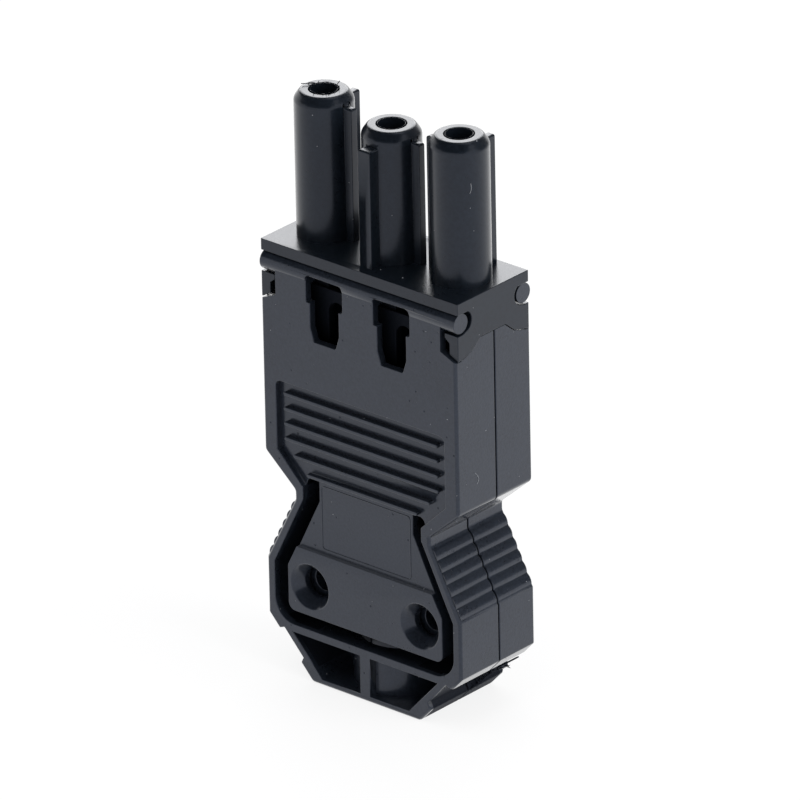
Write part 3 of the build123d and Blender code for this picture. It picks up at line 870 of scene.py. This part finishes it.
class MakeFlash(Operator):
    """Grow the lips, slivers and whiskers of flash at the tubes' mouths and on the nose"""

    bl_idname = "connector.make_flash"
    bl_label = "Moulding flash"

    def execute(self, context):
        flash = settings().flash
        insert = bpy.data.materials["insert_plastic"]
        shell = bpy.data.materials["shell_plastic"]
        tree = mouth_tree(insert)
        for pole, (share, length, seed) in MOUTHS.items():
            place = (POLE_X[pole], 0.0, mouth_height(pole))
            values = {"Rim": flash.rim, "Lip": flash.lip, "Count": flash.mouth_count, "Place": place}
            values |= {"Sliver": flash.sliver * length, "Share": share, "Seed": seed}
            link_piece(f"mouth_flash_{pole}", grow("mouth", tree, values), insert, "insert_black")
        hairs = whiskers(MOUTH_WHISKERS, flash.mouth_whisker, insert)
        link_piece("mouth_whiskers", hairs, insert, "insert_black")
        tree = seam_tree(shell)
        torn = []
        for start, end, length, seed in NOSE_SEAMS:
            values = {"Start": start, "End": end, "Count": flash.nose_count, "Share": flash.nose_share}
            torn.append(grow("nose", tree, values | {"Sliver": flash.sliver * length, "Seed": seed}))
        slivers = gathered([*torn, whiskers(NOSE_WHISKERS, flash.nose_whisker, shell)])
        link_piece("nose_flash", slivers, shell, "shell_black")
        return {"FINISHED"}


def mouth_height(pole):
    """The height of a pole's tube, found on its own rim."""
    points = [point.co for point in frame["nodes"]["socket_insert"].data.vertices]
    return max(spot.z for spot in points if math.hypot(spot.x - POLE_X[pole], spot.y) < RIM_REACH)


def whiskers(paths, thickness, material):
    """One mesh of the fibres that bend through the given points."""
    tree = fibre_tree(material)
    grown = []
    for start, bend, end in paths:
        values = {"Start": start, "Bend": bend, "End": end, "Thickness": thickness}
        grown.append(grow("whisker", tree, values))
    return gathered(grown)


class MakeMarks(Operator):
    """Draw the bare plate's outline on the tongue, and strew dust and lint"""

    bl_idname = "connector.make_marks"
    bl_label = "Plate outline, dust and lint"

    def execute(self, context):
        plate, lint = settings().plate, settings().lint
        shell = bpy.data.materials["shell_plastic"]
        place = (0.0, -plate.face, plate.low_edge + plate.height / 2)
        values = {"Width": plate.width, "Height": plate.height, "Corner": plate.corner}
        values |= {"Line": plate.line, "Place": place}
        link_piece("plate_outline", grow("outline", outline_tree(shell), values), shell, "shell_black")
        pale = lint_fibre("pale_lint", lint)
        link_piece("lint", whiskers(FIBRES, lint.thickness, pale), pale, "shell_black")
        tree = dust_tree(pale)
        for number, moulding in enumerate(("front_moulding", "rear_moulding", "insert_moulding")):
            values = {"Moulding": bpy.data.objects[moulding], "Density": lint.density}
            values |= {"Crumb": lint.crumb, "Seed": number}
            slot = "insert_black" if moulding == "insert_moulding" else "shell_black"
            link_piece(f"dust_{moulding}", grow("dust", tree, values), pale, slot)
        return {"FINISHED"}


# Lamps and cards: azimuth and elevation in degrees, then distance, width and height in metres
LAMPS = {
    "back_softbox": (221, 27, 0.6, 0.5, 0.34),
    "side_softbox": (98, 22, 0.7, 0.5, 0.5),
    "top_softbox": (10, 75, 0.6, 0.4, 0.4),
}
CARDS = {
    "back_card": (150, 28, 0.5, 0.62, 0.64),
    "front_card": (15, 52, 1.2, 2.6, 1.7),
    "left_card": (-85, 52, 1.2, 2.2, 1.5),
}

# Sides of the round floor, width of the camera's sensor in millimetres, and how far the camera sees in metres
FLOOR_SIDES = 96
SENSOR = 36.0
SIGHT = 10.0


class MakeStage(Operator):
    """Lay the floor and set the lights, the sky and the camera"""

    bl_idname = "connector.make_stage"
    bl_label = "Stage"

    def execute(self, context):
        stage = settings().stage
        lay_floor(stage)
        light_sky(stage)
        powers = (stage.back_power, stage.side_power, stage.top_power)
        for name, power in zip(LAMPS, powers):
            hang_lamp(name, *LAMPS[name], power, in_gloss=name == "back_softbox")
        greys = (stage.back_card, stage.front_card, stage.front_card)
        for name, grey in zip(CARDS, greys):
            stand_card(name, *CARDS[name], grey)
        set_camera(stage)
        context.scene.view_settings.view_transform = "Standard"
        return {"FINISHED"}


def seen_directly(graph):
    """One for rays that show the surroundings: the camera's, and those off gloss or through glass."""
    rays = graph.node("ShaderNodeLightPath", output="Is Camera Ray")
    shown = rays + rays.output("Is Glossy Ray") + rays.output("Is Transmission Ray")
    return ramp(graph, shown, 0.0, 1.0)


def lay_floor(stage):
    mesh = bpy.data.meshes.new("floor")
    work = bmesh.new()
    bmesh.ops.create_circle(work, cap_ends=True, segments=FLOOR_SIDES, radius=stage.floor_radius)
    work.to_mesh(mesh)
    work.free()
    floor = bpy.data.objects.new("floor", mesh)
    bpy.context.scene.collection.objects.link(floor)
    material, graph = new_material("floor_paper")
    lit = graph.node("ShaderNodeBsdfDiffuse", {}, {"Color": rgba(stage.floor_color)})
    glow = graph.node("ShaderNodeEmission", {}, {"Color": (1, 1, 1, 1), "Strength": 1.0})
    share = seen_directly(graph) * stage.floor_glow
    both = graph.node("ShaderNodeMixShader", {}, {0: share, 1: lit, 2: glow})
    graph.node("ShaderNodeOutputMaterial", {}, {"Surface": both})
    mesh.materials.append(material)


def light_sky(stage):
    world = bpy.data.worlds.new("sky")
    world.use_nodes = True
    world.node_tree.nodes.clear()
    graph = Graph(world.node_tree)
    strength = seen_directly(graph) * (1.0 - stage.sky) + stage.sky
    back = graph.node("ShaderNodeBackground", {}, {"Color": (1, 1, 1, 1), "Strength": strength})
    graph.node("ShaderNodeOutputWorld", {}, {"Surface": back})
    bpy.context.scene.world = world


def facing(azimuth, elevation, distance):
    """A placement at an azimuth and elevation in degrees whose Z axis points away from the connector."""
    turn, rise = math.radians(azimuth), math.radians(elevation)
    away = Vector((math.cos(rise) * math.sin(turn), -math.cos(rise) * math.cos(turn), math.sin(rise)))
    spot = Vector((0, 0, middle("socket_insert")[2])) + away * distance
    return Matrix.Translation(spot) @ away.to_track_quat("Z", "Y").to_matrix().to_4x4()


def hang_lamp(name, azimuth, elevation, distance, width, height, power, in_gloss):
    light = bpy.data.lights.new(name, "AREA")
    light.shape = "RECTANGLE"
    light.size = width
    light.size_y = height
    light.energy = power
    lamp = bpy.data.objects.new(name, light)
    lamp.matrix_world = facing(azimuth, elevation, distance)
    lamp.visible_camera = False
    lamp.visible_glossy = in_gloss
    bpy.context.scene.collection.objects.link(lamp)


def stand_card(name, azimuth, elevation, distance, width, height, grey):
    """A dark card that only gloss shows: the grips, grooves and chamfers reflect it."""
    material, graph = new_material(f"{name}_felt")
    felt = graph.node("ShaderNodeBsdfDiffuse", {}, {"Color": rgba((grey, grey, grey))})
    graph.node("ShaderNodeOutputMaterial", {}, {"Surface": felt})
    mesh = bpy.data.meshes.new(name)
    work = bmesh.new()
    place = facing(azimuth, elevation, distance) @ Matrix.Diagonal((width, height, 1, 1))
    bmesh.ops.create_grid(work, x_segments=1, y_segments=1, size=0.5, matrix=place)
    work.to_mesh(mesh)
    work.free()
    mesh.materials.append(material)
    card = bpy.data.objects.new(name, mesh)
    bpy.context.scene.collection.objects.link(card)
    card.visible_camera = False
    card.visible_diffuse = False
    card.visible_shadow = False


def set_camera(stage):
    az, el, roll = stage.azimuth, stage.elevation, stage.roll
    toward = Vector((math.cos(el) * math.sin(az), -math.cos(el) * math.cos(az), math.sin(el)))
    level = Vector((math.cos(az), math.sin(az), 0))
    upward = toward.cross(level)
    right = math.cos(roll) * level + math.sin(roll) * upward
    up = math.cos(roll) * upward - math.sin(roll) * level
    lens = bpy.data.cameras.new("camera")
    lens.sensor_width = SENSOR
    lens.lens = stage.focal_length
    lens.clip_end = SIGHT
    camera = bpy.data.objects.new("camera", lens)
    aim = Vector((0, 0, stage.aim_height))
    place = aim + toward * stage.distance + right * stage.aside + up * stage.above
    camera.matrix_world = Matrix.Translation(place) @ Matrix((right, up, toward)).transposed().to_4x4()
    bpy.context.scene.collection.objects.link(camera)
    bpy.context.scene.camera = camera


class CONNECTOR_PT_panel(Panel):
    """Lists the connector's pieces and its stage"""

    bl_label = "Installation Connector"
    bl_idname = "CONNECTOR_PT_panel"
    bl_space_type = "VIEW_3D"
    bl_region_type = "UI"
    bl_category = "Connector"

    def draw(self, context):
        for operator in OPERATORS:
            self.layout.operator(operator.bl_idname)


LOOKS = (ShellLook, InsertLook, ContactLook, BrassLook, SteelLook, LintLook)
SETTINGS = (*LOOKS, FlashSettings, PlateSettings, StageSettings, ConnectorSettings)
OPERATORS = (MakeStage, MakeShells, MakeInsert, MakeContacts, MakeFlash, MakeMarks)
CLASSES = (*SETTINGS, *OPERATORS, CONNECTOR_PT_panel)


def register():
    for kind in CLASSES:
        bpy.utils.register_class(kind)
    bpy.types.Scene.connector = PointerProperty(type=ConnectorSettings)


def unregister():
    del bpy.types.Scene.connector
    for kind in reversed(CLASSES):
        bpy.utils.unregister_class(kind)


def main():
    register()
    bpy.ops.connector.make_stage()
    bpy.ops.connector.make_shells()
    bpy.ops.connector.make_insert()
    bpy.ops.connector.make_contacts()
    bpy.ops.connector.make_flash()
    bpy.ops.connector.make_marks()


if __name__ == "__main__":
    main()
